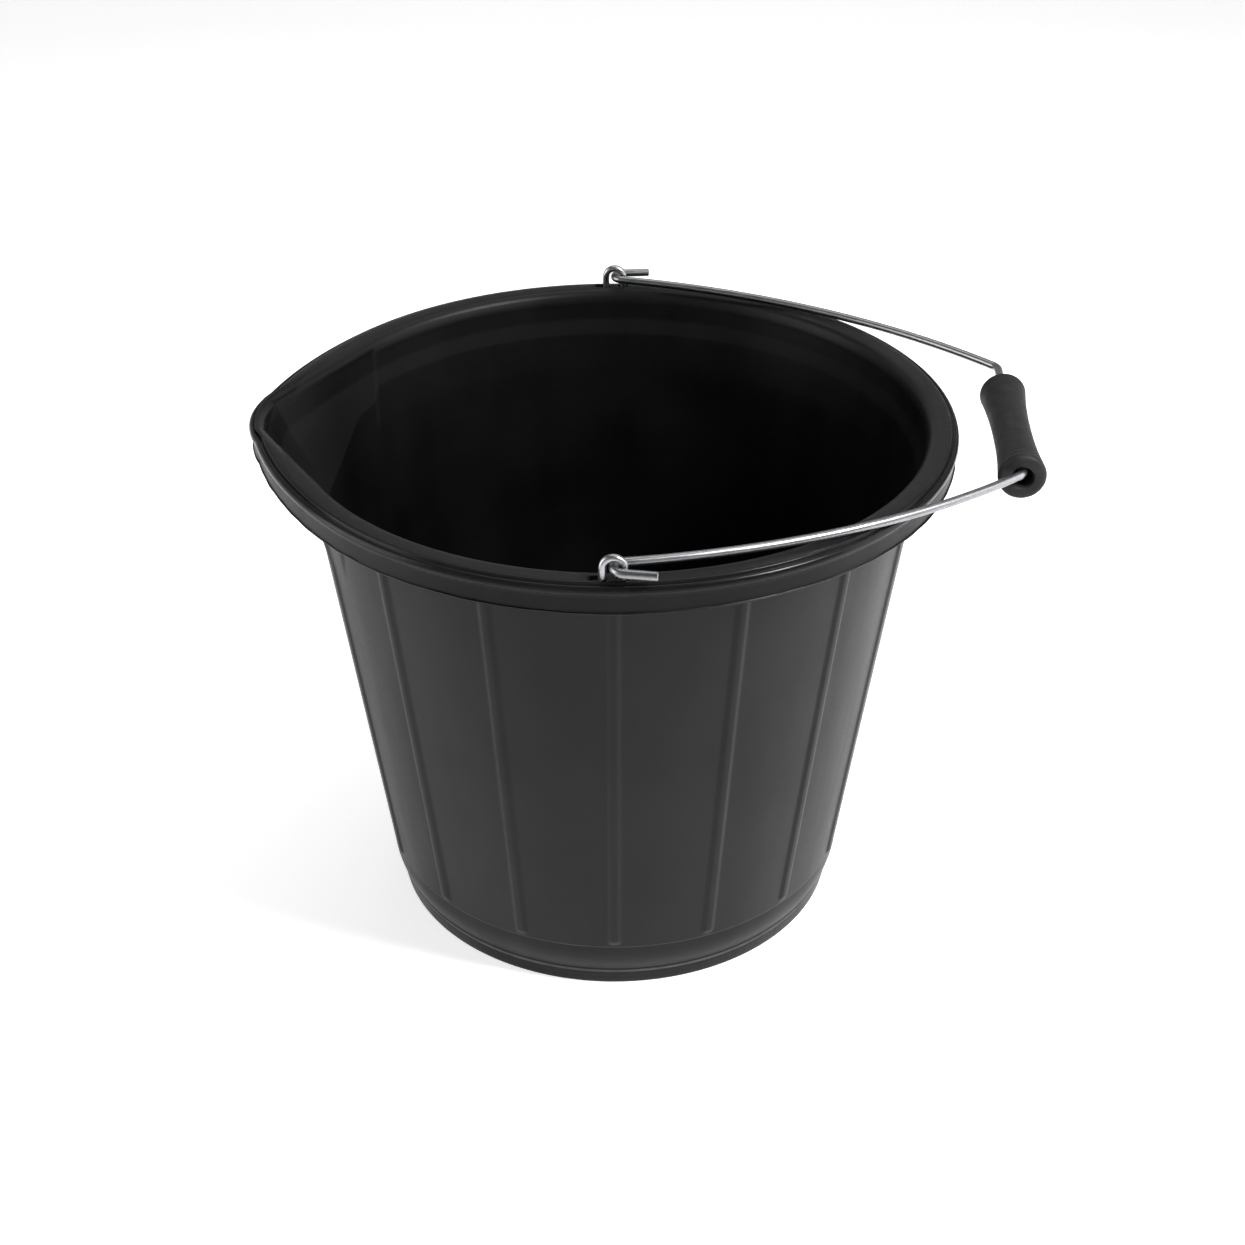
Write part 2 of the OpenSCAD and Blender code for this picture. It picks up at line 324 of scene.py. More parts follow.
def foot_angle(top):
    """Angle at the throat's foot of a column that leaves the rim at this angle."""
    a = abs(top)
    if a <= THROAT_TOP_HALF_A:
        foot = a * THROAT_HALF_A / THROAT_TOP_HALF_A
    elif a <= THROAT_BLEND_A:
        spread = (THROAT_BLEND_A - THROAT_HALF_A) / (THROAT_BLEND_A - THROAT_TOP_HALF_A)
        foot = THROAT_HALF_A + (a - THROAT_TOP_HALF_A) * spread
    else:
        foot = a
    return math.copysign(foot, top)


def point_at(from_lip, r, z):
    """A point at an angle from -X, measured towards +Y, and a radius."""
    a = math.radians(from_lip)
    return (-r * math.cos(a), r * math.sin(a), z)


def wall_point(top_angle, z, wall_r, notch):
    """A point of the wall, pushed out where the throat of the lip leaves the round wall."""
    edge_fade = 1.6
    foot_a = foot_angle(top_angle)
    t = min(1.0, max(0.0, (z - THROAT_Z) / (FLANGE_UNDER_Z - THROAT_Z)))
    angle = foot_a + (top_angle - foot_a) * t
    r = wall_r(z)
    if t > 0 and abs(top_angle) < THROAT_TOP_HALF_A + 2:
        x0, y0, _ = point_at(foot_a, wall_r(THROAT_Z), z)
        x1, y1, _ = point_at(top_angle, notch.at(top_angle), z)
        x, y = x0 + (x1 - x0) * t, y0 + (y1 - y0) * t
        fade = smooth((THROAT_TOP_HALF_A + 0.2 - abs(top_angle)) / edge_fade)
        excess = (math.hypot(x, y) - r) * fade
        if excess > 0:
            k = (r + excess) / math.hypot(x, y)
            return (x * k, y * k, z)
    return point_at(angle, r, z)


def with_rib(point):
    """The same point of the outside wall, moved out where a rib is."""
    x, y, z = point
    r = math.hypot(x, y)
    k = 1 + rib_height(math.degrees(math.atan2(y, x)), r, z) / r
    return (x * k, y * k, z)


def steps(low, high, step):
    """Evenly spaced heights from low to high."""
    n = max(1, round((high - low) / step))
    return [low + (high - low) * i / n for i in range(n + 1)]


def flash_noise(angle, seed):
    """A ragged number from -1 to 1 that closes on itself round the rim: waves a turn, and their phases."""
    a = math.radians(angle)
    waves = ((7, 1.3), (19, 0.4), (43, 2.1), (71, 4.2))
    return sum(math.sin(n * a + phase + seed) for n, phase in waves) / len(waves)


def rings_round(angles, section):
    """Round rings of points, one for each radius and height of a section."""
    return [[point_at(a, r, z) for a in angles] for r, z in section]


def ring_on_plan(angles, plan, z):
    """A ring of points on a plan with a lip, at one height."""
    return [point_at(a, plan.at(a), z) for a in angles]


def inside_rings(angles):
    """Rings from the middle of the floor up the inside of the wall and the throat."""
    mouth = mouth_plan(0)
    heights = steps(34, THROAT_Z, 7) + steps(206, 233, 3) + [235] + steps(236.5, 247, 1.5) + [249, 250.5]
    wall = [[wall_point(a, z, inner_wall_r, mouth) for a in angles] for z in heights]
    return rings_round(angles, GATE_MARK + FLOOR_RING + INSIDE_CORNER) + wall


def rim_rings(angles):
    """Rings over the rim: fillet, flat, groove, bead, skirt with its ragged flash, and under the flange."""
    rings = [ring_on_plan(angles, mouth_plan(grow), z) for grow, z in MOUTH_FILLET]
    flat_in, flat_out = mouth_plan(MOUTH_FILLET_R), rim_plan(RIM_FLAT_INSET)
    rings.append([point_at(a, (flat_in.at(a) + flat_out.at(a)) / 2, BUCKET_H) for a in angles])
    rings += [ring_on_plan(angles, rim_plan(inset), z) for inset, z in RIM_SECTION]
    flash_out, flash_up = 0.22, 0.16
    for inset, z in SKIRT_EDGE:
        plan = rim_plan(inset)
        ring = []
        for a in angles:
            r = plan.at(a) + flash_out * flash_noise(a, 0)
            ring.append(point_at(a, r, z + flash_up * flash_noise(a, 2)))
        rings.append(ring)
    rings += [ring_on_plan(angles, rim_plan(inset), z) for inset, z in SKIRT_INSIDE]
    rings.append(ring_on_plan(angles, mouth_plan(WALL_T + 0.9), FLANGE_UNDER_Z))
    rings.append(ring_on_plan(angles, mouth_plan(WALL_T + 0.1), FLANGE_UNDER_Z - 0.8))
    return rings


def outside_rings(angles):
    """Rings down the ribbed outside of the wall, over the ledge and the foot ring, and under the floor."""
    notch_out = mouth_plan(WALL_T)
    heights = [251.5] + steps(244, 250, 2)[::-1] + steps(239, 243, 1)[::-1] + steps(206, 236, 3)[::-1]
    heights += steps(40, THROAT_Z, 7)[::-1] + [37, 34.5, 32.6, 31.6, 30.8, 30, 29.2, 28.4, 27.8, 27.45]
    wall = [[with_rib(wall_point(a, z, outer_wall_r, notch_out)) for a in angles] for z in heights]
    return wall + rings_round(angles, LEDGE + OUTSIDE_CORNER + FOOT_RING + UNDERSIDE)


def new_piece(name, bm, body, node, material):
    """Makes a smooth-shaded piece from a bmesh, rides it on its body and hides its node's imported part."""
    bmesh.ops.recalc_face_normals(bm, faces=bm.faces)
    mesh = bpy.data.meshes.new(name)
    bm.to_mesh(mesh)
    bm.free()
    mesh.shade_smooth()
    obj = bpy.data.objects.new(name, mesh)
    bpy.context.scene.collection.objects.link(obj)
    mesh.materials.append(material)
    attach(obj, body)
    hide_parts(node)
    return obj


def mesh_from_rings(rings, close_ends):
    """A bmesh of quads between closed rings; the ends are closed with fans or joined to each other."""
    bm = bmesh.new()
    rows = [[bm.verts.new((x * MM, y * MM, z * MM)) for x, y, z in ring] for ring in rings]
    n = len(rows[0])
    pairs = list(zip(rows, rows[1:])) + ([] if close_ends else [(rows[-1], rows[0])])
    for low, high in pairs:
        for j in range(n):
            k = (j + 1) % n
            bm.faces.new((low[j], low[k], high[k], high[j]))
    if close_ends:
        for row in (rows[0], rows[-1]):
            centre = bm.verts.new(sum((v.co for v in row), Vector()) / n)
            for j in range(n):
                bm.faces.new((row[j], row[(j + 1) % n], centre))
    return bm


def ear_hole_cutters():
    """Upright bars that cut the ears' holes: round on the bail's side, longer on the lip's side."""
    bm = bmesh.new()
    for side in (-1, 1):
        for low_x, high_x in HOLE_ENDS:
            outline = []
            for i in range(40):
                a = math.radians(9 * i)
                x = (high_x if math.cos(a) > 0 else low_x) + HOLE_R * math.cos(a)
                outline.append((x, side * EAR_Y + HOLE_HALF_Y * math.sin(a)))
            low = [bm.verts.new((x * MM, y * MM, HOLE_LOW_Z * MM)) for x, y in outline]
            high = [bm.verts.new((x * MM, y * MM, HOLE_HIGH_Z * MM)) for x, y in outline]
            bm.faces.new(low[::-1])
            bm.faces.new(high)
            for j in range(len(low)):
                k = (j + 1) % len(low)
                bm.faces.new((low[j], low[k], high[k], high[j]))
    mesh = bpy.data.meshes.new("ear_hole_cutters")
    bmesh.ops.recalc_face_normals(bm, faces=bm.faces)
    bm.to_mesh(mesh)
    bm.free()
    return bpy.data.objects.new("ear_hole_cutters", mesh)


def make_shell(material):
    """The moulded shell with its ribs, rim, lip and ear holes."""
    angles = column_angles()
    rings = inside_rings(angles) + rim_rings(angles) + outside_rings(angles)
    bm = mesh_from_rings(rings, close_ends=True)
    shell = new_piece("shell", bm, "bucket", "bucket_body", material)
    cutters = ear_hole_cutters()
    bpy.context.scene.collection.objects.link(cutters)
    cut = shell.modifiers.new("ear_holes", "BOOLEAN")
    cut.operation = "DIFFERENCE"
    cut.solver = "EXACT"
    cut.object = cutters
    graph = bpy.context.evaluated_depsgraph_get()
    mesh = bpy.data.meshes.new_from_object(shell.evaluated_get(graph))
    shell.modifiers.clear()
    shell.data = mesh
    bpy.data.objects.remove(cutters)
    mesh.shade_smooth()
    mesh.set_sharp_from_angle(angle=MOULDED_CREASE)


def turtle(moves, heading, start, spacing):
    """Points and headings along straight moves and arcs in a plane, like the wires of the part."""
    x, y = start
    track = [((x, y), heading)]
    for move in moves:
        if move[0] == "go":
            n = max(2, round(move[1] / spacing))
            for i in range(1, n + 1):
                d = move[1] * i / n
                track.append(((x + d * math.cos(heading), y + d * math.sin(heading)), heading))
        else:
            radius, turn = move[1], math.radians(move[2])
            left = 1 if turn > 0 else -1
            cx = x - left * radius * math.sin(heading)
            cy = y + left * radius * math.cos(heading)
            n = max(4, round(max(radius * abs(turn) / spacing, abs(move[2]) / 6)))
            for i in range(1, n + 1):
                h = heading + turn * i / n
                track.append(((cx + left * radius * math.sin(h), cy - left * radius * math.cos(h)), h))
        (x, y), heading = track[-1]
    return track


def wire_mesh(track, to_space, radius, sides=24, chamfer=0.35):
    """A round wire along a flat track, with chamfered ends and a UV map of turn and length."""
    bm = bmesh.new()
    uv = bm.loops.layers.uv.new("wire")
    (x0, y0), h0 = track[0]
    (x1, y1), h1 = track[-1]
    first = ((x0 + chamfer * math.cos(h0), y0 + chamfer * math.sin(h0)), h0)
    last = ((x1 - chamfer * math.cos(h1), y1 - chamfer * math.sin(h1)), h1)
    sections = [(track[0], radius - chamfer), (first, radius)]
    sections += [(t, radius) for t in track[1:-1]] + [(last, radius), (track[-1], radius - chamfer)]
    rows, lengths, length, before = [], [], 0.0, None
    for ((x, y), heading), r in sections:
        if before:
            length += math.hypot(x - before[0], y - before[1])
        before = (x, y)
        lengths.append(length)
        row = []
        for j in range(sides):
            a = 2 * math.pi * j / sides
            out, up = r * math.cos(a), r * math.sin(a)
            row.append(bm.verts.new(to_space(x - math.sin(heading) * out, y + math.cos(heading) * out, up)))
        rows.append(row)
    for i in range(len(rows) - 1):
        for j in range(sides):
            k = (j + 1) % sides
            face = bm.faces.new((rows[i][j], rows[i][k], rows[i + 1][k], rows[i + 1][j]))
            for loop, (du, v) in zip(face.loops, ((j, i), (j + 1, i), (j + 1, i + 1), (j, i + 1))):
                loop[uv].uv = (du / sides, lengths[v] * MM)
    bm.faces.new(rows[0][::-1])
    bm.faces.new(rows[-1])
    return bm


def make_ear(name, side, node, material):
    """A staple of wire: clinched feet under the flange, two legs and an arch."""
    press = 0.05
    foot_z = FLANGE_UNDER_Z - EAR_WIRE_R + press
    leg = HINGE_Z - foot_z - EAR_BEND_R
    moves = [("go", CLINCH_LEN), ("turn", EAR_BEND_R, 90), ("go", leg), ("turn", ARCH_R, -180),
             ("go", leg), ("turn", EAR_BEND_R, 90), ("go", CLINCH_LEN)]
    track = turtle(moves, 0.0, (-ARCH_R - EAR_BEND_R - CLINCH_LEN, foot_z), 0.6)

    def to_space(x, z, out):
        return (x * MM, (side * EAR_Y + out) * MM, z * MM)

    obj = new_piece(name, wire_mesh(track, to_space, EAR_WIRE_R), "bucket", node, material)
    obj.data.set_sharp_from_angle(angle=WIRE_CREASE)


def arc_way(from_a, to_a):
    """The way along an arc of radius 1 that turns left from one heading to another, in degrees."""
    a, b = math.radians(from_a), math.radians(to_a)
    return Vector((math.sin(b) - math.sin(a), math.cos(a) - math.cos(b)))


def bail_side(side):
    """One side of the bail: its straight part's length, its arm's radius and its heading after the bend."""
    straight_a = 90 - side * BAIL_SKEW
    bend_end_a = straight_a + CORNER_TURN
    straight_way = Vector((math.cos(math.radians(straight_a)), math.sin(math.radians(straight_a))))
    arm_way = arc_way(bend_end_a, ARM_END_A)
    arm_end = math.radians(ARM_END_A)
    hook = Vector((HOOK_R * (1 - math.sin(arm_end)), EAR_Y + HOOK_R * math.cos(arm_end)))
    way_left = hook - Vector((BAIL_REACH, 0.0)) - CORNER_R * arc_way(straight_a, bend_end_a)
    area = straight_way.cross(arm_way)
    return way_left.cross(arm_way) / area, straight_way.cross(way_left) / area, bend_end_a


def bail_track():
    """The bail's centre line in its own plane, from the front tail round to the back tail."""
    halves = []
    for side in (-1, 1):
        straight, arm_r, bend_end_a = bail_side(side)
        heading = math.radians(90 - BAIL_SKEW) if side > 0 else math.radians(-90 - BAIL_SKEW)
        moves = [("go", straight), ("turn", CORNER_R, side * CORNER_TURN),
                 ("turn", arm_r, side * (ARM_END_A - bend_end_a)),
                 ("turn", HOOK_R, side * (TAIL_FLARE - ARM_END_A)), ("go", TAIL_LEN)]
        halves.append(turtle(moves, heading, (BAIL_REACH, 0.0), 1.6))
    front, back = halves
    return [(place, heading + math.pi) for place, heading in front[:0:-1]] + back


def make_bail(material):
    """The wire bail, lying on the rim."""
    cos_d, sin_d = math.cos(BAIL_DROOP), math.sin(BAIL_DROOP)

    def to_space(x, y, up):
        return ((x * cos_d + up * sin_d) * MM, y * MM, (HINGE_Z - x * sin_d + up * cos_d) * MM)

    bm = wire_mesh(bail_track(), to_space, BAIL_WIRE_R)
    obj = new_piece("bail", bm, "bail", "bail_wire", material)
    obj.data.set_sharp_from_angle(angle=WIRE_CREASE)


def grip_profile(half, end_r):
    """Closed half section of the grip: out of the bore at one end, over the waist, back through the bore."""
    rim_r = end_r - GRIP_ROUND
    corner = half - GRIP_ROUND
    bore_r = GRIP_BORE_R
    waist_power = 2.2
    ridge = 0.12
    bore_edge = [(bore_r + 0.05, half - 0.7), (bore_r + 0.35, half - 0.2), (bore_r + 0.9, half)]
    end_face = bore_edge + [(rim_r - 0.4, half)]
    points = [(r, -y) for r, y in end_face]
    for i in range(0, 10):
        a = math.radians(-90 + 9 * i)
        points.append((rim_r + GRIP_ROUND * math.cos(a), -corner + GRIP_ROUND * math.sin(a)))
    for i in range(-40, 41):
        u = i / 40
        r = GRIP_WAIST_R + (end_r - GRIP_WAIST_R) * abs(u) ** waist_power
        near_end = smooth((-u - 0.62) / 0.3) * smooth((1 + u) / 0.05)
        points.append((r + ridge * near_end * math.sin(i * 1.9), corner * u))
    for i in range(1, 11):
        a = math.radians(9 * i)
        points.append((rim_r + GRIP_ROUND * math.cos(a), corner + GRIP_ROUND * math.sin(a)))
    points += end_face[::-1]
    points += [(bore_r, y) for y in steps(-half + 3, half - 3, 8)[::-1]]
    return points


def make_grip(material):
    """The waisted tube grip, loose on the bail."""
    joint = JOINTS["grip_spin"]
    centre, along = Vector(joint["pos_m"]) / MM, Vector(joint["axis"]).normalized()
    out = along.cross(Vector((0, 0, 1))).normalized()
    up = out.cross(along)
    turns = [2 * math.pi * j / GRIP_SIDES for j in range(GRIP_SIDES)]
    rings = []
    for r, y in grip_profile(GRIP_LEN / 2, GRIP_END_R):
        middle = centre + along * y
        rings.append([tuple(middle + out * (r * math.cos(a)) + up * (r * math.sin(a))) for a in turns])
    bm = mesh_from_rings(rings, close_ends=False)
    obj = new_piece("grip", bm, "grip", "hand_grip", material)
    obj.data.set_sharp_from_angle(angle=MOULDED_CREASE)


def blank_material(name):
    """A new node material, its node tree and its shader."""
    material = bpy.data.materials.new(name)
    material.use_nodes = True
    tree = material.node_tree
    return material, tree, tree.nodes["Principled BSDF"]


def node(tree, kind, **values):
    """A new node; a value is for the socket of that name, or else for the property of that name."""
    made = tree.nodes.new(kind)
    for key, value in values.items():
        name = key.replace("_", " ")
        if name in made.inputs:
            made.inputs[name].default_value = value
        else:
            setattr(made, key, value)
    return made


def mapped(tree, source, scale):
    """Texture coordinates, scaled."""
    mapping = node(tree, "ShaderNodeMapping")
    mapping.inputs["Scale"].default_value = scale
    tree.links.new(source, mapping.inputs["Vector"])
    return mapping.outputs["Vector"]


def noise(tree, vector, scale, detail=3.0, rough=0.55):
    """Noise at a scale per metre."""
    made = node(tree, "ShaderNodeTexNoise", Scale=scale, Detail=detail, Roughness=rough)
    tree.links.new(vector, made.inputs["Vector"])
    return made.outputs["Fac"]


def remap(tree, value, low, high, out_low, out_high):
    """A number moved from one range to another, kept inside it."""
    made = node(tree, "ShaderNodeMapRange")
    for name, number in (("From Min", low), ("From Max", high), ("To Min", out_low), ("To Max", out_high)):
        made.inputs[name].default_value = number
    tree.links.new(value, made.inputs["Value"])
    return made.outputs["Result"]


def math_node(tree, operation, a, b):
    """One operation on two sockets or numbers."""
    made = node(tree, "ShaderNodeMath", operation=operation)
    for socket, value in zip(made.inputs, (a, b)):
        if isinstance(value, (int, float)):
            socket.default_value = value
        else:
            tree.links.new(value, socket)
    return made.outputs["Value"]


def colour_ramp(tree, value, low, high):
    """A colour between two greys, by a number from 0 to 1."""
    ramp = node(tree, "ShaderNodeValToRGB")
    ramp.color_ramp.elements[0].color = (*low, 1)
    ramp.color_ramp.elements[1].color = (*high, 1)
    tree.links.new(value, ramp.inputs["Fac"])
    return ramp.outputs["Color"]


def mix_colour(tree, factor, colour, other):
    """A colour that turns into another, constant one by a number from 0 to 1."""
    made = node(tree, "ShaderNodeMix", data_type="RGBA")
    factor_in, colour_a, colour_b = 0, 6, 7
    colour_out = 2
    made.inputs[colour_b].default_value = other
    tree.links.new(factor, made.inputs[factor_in])
    tree.links.new(colour, made.inputs[colour_a])
    return made.outputs[colour_out]


def band(tree, value, rise, low, high, fall):
    """1 while a number is between low and high, easing to 0 at rise and at fall."""
    risen = remap(tree, value, rise, low, 0.0, 1.0)
    not_fallen = remap(tree, value, high, fall, 1.0, 0.0)
    return math_node(tree, "MULTIPLY", risen, not_fallen)


def bump(tree, height, strength, distance, under=None):
    """A bump from a height, on top of another bump."""
    made = node(tree, "ShaderNodeBump", Strength=strength, Distance=distance)
    tree.links.new(height, made.inputs["Height"])
    if under is not None:
        tree.links.new(under, made.inputs["Normal"])
    return made.outputs["Normal"]


def shell_radius(tree, x, y):
    """Distance from the bucket's axis, in metres."""
    squares = math_node(tree, "ADD", math_node(tree, "MULTIPLY", x, x), math_node(tree, "MULTIPLY", y, y))
    return math_node(tree, "SQRT", squares, 0.0)


def shell_colour(tree, place, z, radius, inside):
    """Black, with painted shade that makes it deepest inside and on the skirt, painted light that makes it
    lightest on the rim's flat top, and a painted highlight as a light line at the foot ring.
    """
    # Painted shade: the base colour is darker inside the bucket and on the skirt under the bead.
    skirt = math_node(tree, "SUBTRACT", remap(tree, z, *SKIRT_SHADE_LOW_FADE, 0.0, 1.0),
                      remap(tree, z, *SKIRT_SHADE_HIGH_FADE, 0.0, 1.0))
    painted_shade = math_node(tree, "MAXIMUM", skirt, inside)
    clouds = remap(tree, noise(tree, place, 14.0, 2.0), 0.35, 0.65, 0.36, 0.6)
    tone = math_node(tree, "SUBTRACT", clouds, math_node(tree, "MULTIPLY", painted_shade, 0.35))
    # Painted light: the base colour is lighter on the upward-facing flat top of the rim.
    tone = math_node(tree, "ADD", tone, remap(tree, z, *FLAT_PAINTED_LIGHT_FADE, 0.0, 0.35))
    black = colour_ramp(tree, tone, (0.0010, 0.0010, 0.0011), (0.0125, 0.0125, 0.013))
    # Painted highlight: a ragged light grey line along the top edge of the foot ring.
    patches = noise(tree, place, 120.0, 3.0)
    foot_edge_highlight = math_node(tree, "MULTIPLY", band(tree, z, *FOOT_EDGE_HIGHLIGHT_BAND),
                          remap(tree, patches, 0.25, 0.6, 0.6, 1.0))
    painted_highlight = math_node(tree, "MULTIPLY", foot_edge_highlight, math_node(tree, "GREATER_THAN", radius, FOOT_EDGE_HIGHLIGHT_MIN_R))
    return mix_colour(tree, painted_highlight, black, (0.075, 0.075, 0.077, 1.0))


def shell_roughness(tree, place, z, radius, grain):
    """A satin wall with upright streaks, and a glossier bead round the rim."""
    streak = noise(tree, mapped(tree, place, (60.0, 60.0, 6.0)), 1.0, 3.0)
    satin = math_node(tree, "ADD", remap(tree, streak, 0.3, 0.7, 0.36, 0.43),
                      remap(tree, grain, 0.3, 0.7, 0.0, 0.05))
    bead = math_node(tree, "MULTIPLY", remap(tree, z, *BEAD_Z_FADE, 0.0, 0.2),
                     remap(tree, radius, *BEAD_R_FADE, 0.0, 1.0))
    return math_node(tree, "SUBTRACT", satin, bead)


def shell_relief(tree, place, z, inside, grain):
    """Fine grain, slow waves, ring-shaped ripples inside and upright marks on the foot ring."""
    ring_wave = node(tree, "ShaderNodeTexNoise", noise_dimensions="1D", Scale=260.0, Detail=2.0)
    tree.links.new(z, ring_wave.inputs["W"])
    ripples = math_node(tree, "MULTIPLY", ring_wave.outputs["Fac"], inside)
    foot_streaks = noise(tree, mapped(tree, place, (700.0, 700.0, 60.0)), 1.0, 2.0)
    foot_marks = math_node(tree, "MULTIPLY", foot_streaks, math_node(tree, "LESS_THAN", z, FOOT_MARKS_TOP_Z))
    normal = bump(tree, grain, 0.05, 0.0002)
    normal = bump(tree, noise(tree, place, 55.0, 2.0), 0.15, 0.0006, normal)
    normal = bump(tree, ripples, 0.14, 0.0005, normal)
    return bump(tree, foot_marks, 0.5, 0.0004, normal)


def shell_material():
    """Black moulded polypropylene, which tells its inside from its outside by the distance from the axis."""
    material, tree, shader = blank_material("black_polypropylene")
    place = node(tree, "ShaderNodeTexCoord").outputs["Object"]
    split = node(tree, "ShaderNodeSeparateXYZ")
    tree.links.new(place, split.inputs["Vector"])
    x, y, z = split.outputs
    grain = noise(tree, place, 900.0, 2.0)
    radius = shell_radius(tree, x, y)
    mid_wall = math_node(tree, "ADD", math_node(tree, "MULTIPLY", z, MID_WALL_SLOPE), MID_WALL_R)
    inside = math_node(tree, "LESS_THAN", radius, mid_wall)
    tree.links.new(shell_colour(tree, place, z, radius, inside), shader.inputs["Base Color"])
    shader.inputs["Specular IOR Level"].default_value = 0.15
    tree.links.new(shell_roughness(tree, place, z, radius, grain), shader.inputs["Roughness"])
    tree.links.new(shell_relief(tree, place, z, inside, grain), shader.inputs["Normal"])
    return material


def wire_material(name, low, high, rough_low, rough_high):
    """Drawn and galvanised wire: metal with streaks along its length."""
    material, tree, shader = blank_material(name)
    along = node(tree, "ShaderNodeUVMap", uv_map="wire").outputs["UV"]
    place = node(tree, "ShaderNodeTexCoord").outputs["Object"]
    streaks = noise(tree, mapped(tree, along, (22.0, 90.0, 1.0)), 1.0, 3.0)
    spangle = noise(tree, place, 700.0, 2.0)
    tone = math_node(tree, "MULTIPLY", math_node(tree, "ADD", streaks, spangle), 0.5)
    zinc = colour_ramp(tree, remap(tree, tone, 0.35, 0.65, 0.0, 1.0), low, high)
    tree.links.new(zinc, shader.inputs["Base Color"])
    tree.links.new(remap(tree, streaks, 0.3, 0.7, rough_low, rough_high), shader.inputs["Roughness"])
    shader.inputs["Metallic"].default_value = 1.0
    normal = bump(tree, streaks, 0.12, 0.00012)
    normal = bump(tree, noise(tree, place, 160.0, 2.0), 0.1, 0.0002, normal)
    tree.links.new(normal, shader.inputs["Normal"])
    return material


def grip_material():
    """Charcoal moulded plastic with a dry, mottled skin and fine turning marks round it."""
    material, tree, shader = blank_material("charcoal_grip")
    place = node(tree, "ShaderNodeTexCoord").outputs["Object"]
    mottle = noise(tree, place, 160.0, 4.0, 0.6)
    grain = noise(tree, place, 1600.0, 2.0)
    around = noise(tree, mapped(tree, place, (40.0, 900.0, 40.0)), 1.0, 3.0, 0.65)
    tone = math_node(tree, "MULTIPLY", math_node(tree, "ADD", mottle, around), 0.5)
    tree.links.new(colour_ramp(tree, remap(tree, tone, 0.38, 0.62, 0.0, 1.0), (0.005, 0.005, 0.0053),
                               (0.017, 0.017, 0.0175)), shader.inputs["Base Color"])
    tree.links.new(remap(tree, mottle, 0.3, 0.7, 0.5, 0.65), shader.inputs["Roughness"])
    shader.inputs["Specular IOR Level"].default_value = 0.22
    normal = bump(tree, grain, 0.25, 0.00015)
    normal = bump(tree, mottle, 0.3, 0.0006, normal)
    normal = bump(tree, around, 0.35, 0.0003, normal)
    tree.links.new(normal, shader.inputs["Normal"])
    return material


def floor_material():
    """Plain pale studio paper that glows a little on the floor, and no more from half a metre up."""
    material, tree, shader = blank_material("studio_paper")
    place = node(tree, "ShaderNodeTexCoord").outputs["Object"]
    tree.links.new(colour_ramp(tree, noise(tree, place, 3.0, 2.0), (0.90, 0.90, 0.90), (0.93, 0.93, 0.93)),
                   shader.inputs["Base Color"])
    shader.inputs["Roughness"].default_value = 1.0
    shader.inputs["Specular IOR Level"].default_value = 0.0
    split = node(tree, "ShaderNodeSeparateXYZ")
    tree.links.new(place, split.inputs["Vector"])
    floor_glow, dark_z = 0.57, 0.5
    glow = remap(tree, split.outputs["Z"], 0.0, dark_z, floor_glow, 0.0)
    tree.links.new(glow, shader.inputs["Emission Strength"])
    shader.inputs["Emission Color"].default_value = (1.0, 1.0, 1.0, 1.0)
    return material


def make_floor():
    """A wide pale floor under the foot ring that curves up into a plain wall all round."""
    bm = bmesh.new()
    flat_r, cove_r, wall_top = 3.0, 1.0, 2.2
    profile = [(0.4, 0.0), (flat_r / 2, 0.0), (flat_r, 0.0)]
    for i in range(1, 11):
        a = math.radians(9 * i)
        profile.append((flat_r + cove_r * math.sin(a), cove_r - cove_r * math.cos(a)))
    profile.append((flat_r + cove_r, wall_top))
    turns = [math.radians(5 * i) for i in range(72)]
    rows = [[bm.verts.new((r * math.cos(a), r * math.sin(a), z)) for a in turns] for r, z in profile]
    for low, high in zip(rows, rows[1:]):
        for j in range(len(turns)):
            k = (j + 1) % len(turns)
            bm.faces.new((low[j], low[k], high[k], high[j]))
    bm.faces.new(rows[0])
    bmesh.ops.recalc_face_normals(bm, faces=bm.faces)
    mesh = bpy.data.meshes.new("floor")
    bm.to_mesh(mesh)
    bm.free()
    mesh.shade_smooth()
    floor = bpy.data.objects.new("floor", mesh)
    bpy.context.scene.collection.objects.link(floor)
    mesh.materials.append(floor_material())


def aim(obj, target):
    """Turns a light or camera to look at a point."""
    obj.rotation_euler = (Vector(target) - obj.location).to_track_quat("-Z", "Y").to_euler()


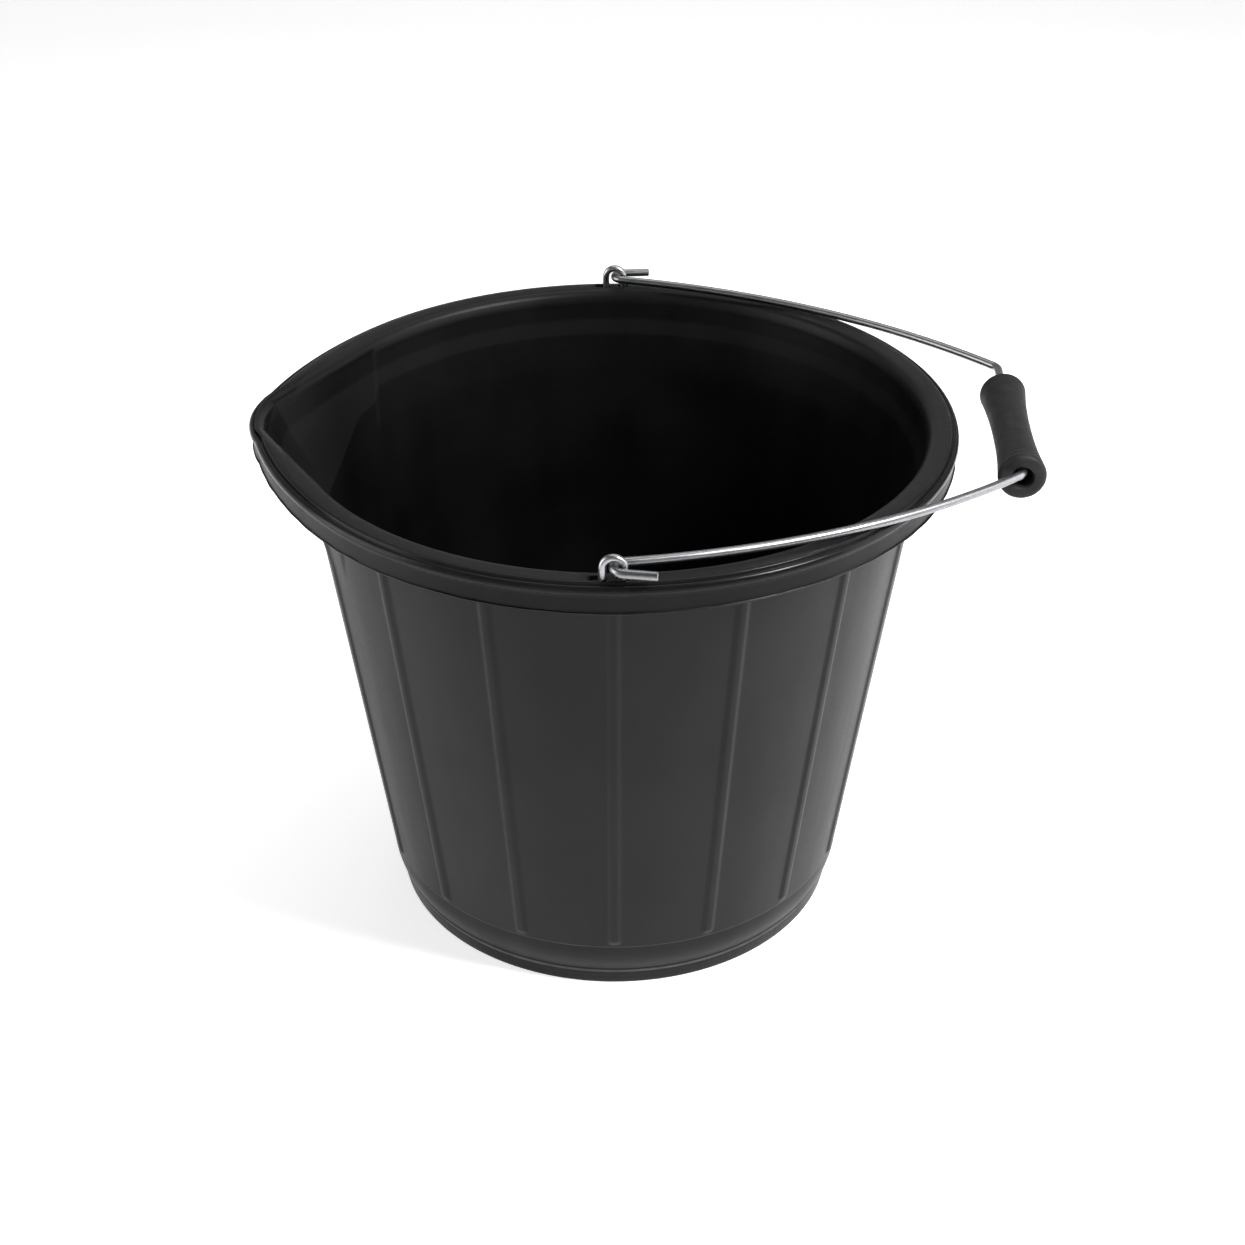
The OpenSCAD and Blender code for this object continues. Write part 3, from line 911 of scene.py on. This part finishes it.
def soft_light(name, place, target, width, height, power):
    """A soft rectangular light that looks at a point."""
    data = bpy.data.lights.new(name, "AREA")
    data.shape = "RECTANGLE"
    data.size, data.size_y = width, height
    data.energy = power
    obj = bpy.data.objects.new(name, data)
    bpy.context.scene.collection.objects.link(obj)
    obj.location = place
    aim(obj, target)


def make_lights():
    """Two large side softboxes, a top light, a small front light and a dim even room."""
    middle = (0.0, 0.0, 0.13)
    soft_light("left_softbox", (-1.25, -0.2, 0.5), middle, 0.8, 1.2, 9.5)
    soft_light("right_softbox", (1.3, -0.05, 0.55), middle, 0.8, 1.2, 6.5)
    soft_light("top_softbox", (0.15, 0.6, 1.6), middle, 1.2, 0.8, 6.0)
    soft_light("front_softbox", (0.72, -0.42, 1.05), middle, 0.24, 0.4, 18.0)
    world = bpy.data.worlds.new("studio")
    world.use_nodes = True
    background = world.node_tree.nodes["Background"]
    background.inputs["Color"].default_value = (1.0, 1.0, 1.0, 1.0)
    background.inputs["Strength"].default_value = 0.12
    bpy.context.scene.world = world


def make_camera():
    """The camera in front of the front ear, looking down into the bucket as in the photo."""
    data = bpy.data.cameras.new("camera")
    data.lens, data.sensor_width = 60.86, 36.0
    data.clip_start, data.clip_end = 0.05, 50.0
    camera = bpy.data.objects.new("camera", data)
    bpy.context.scene.collection.objects.link(camera)
    azimuth, elevation, distance = math.radians(-0.085), math.radians(31.52), 1.0592
    look_at = Vector((0.0040, 0.0, 0.1392))
    level = math.cos(elevation)
    back = Vector((math.sin(azimuth) * level, -math.cos(azimuth) * level, math.sin(elevation)))
    camera.location = look_at + back * distance
    aim(camera, look_at)
    bpy.context.scene.camera = camera


bpy.context.scene.view_settings.view_transform = "Standard"
ear_metal = wire_material("galvanised_ear_wire", (0.30, 0.305, 0.315), (0.48, 0.485, 0.50), 0.24, 0.36)
bail_metal = wire_material("galvanised_bail_wire", (0.22, 0.223, 0.23), (0.31, 0.314, 0.323), 0.26, 0.36)
make_shell(shell_material())
make_ear("ear_front", -1, "front_ear", ear_metal)
make_ear("ear_back", 1, "back_ear", ear_metal)
make_bail(bail_metal)
make_grip(grip_material())
make_floor()
make_lights()
make_camera()
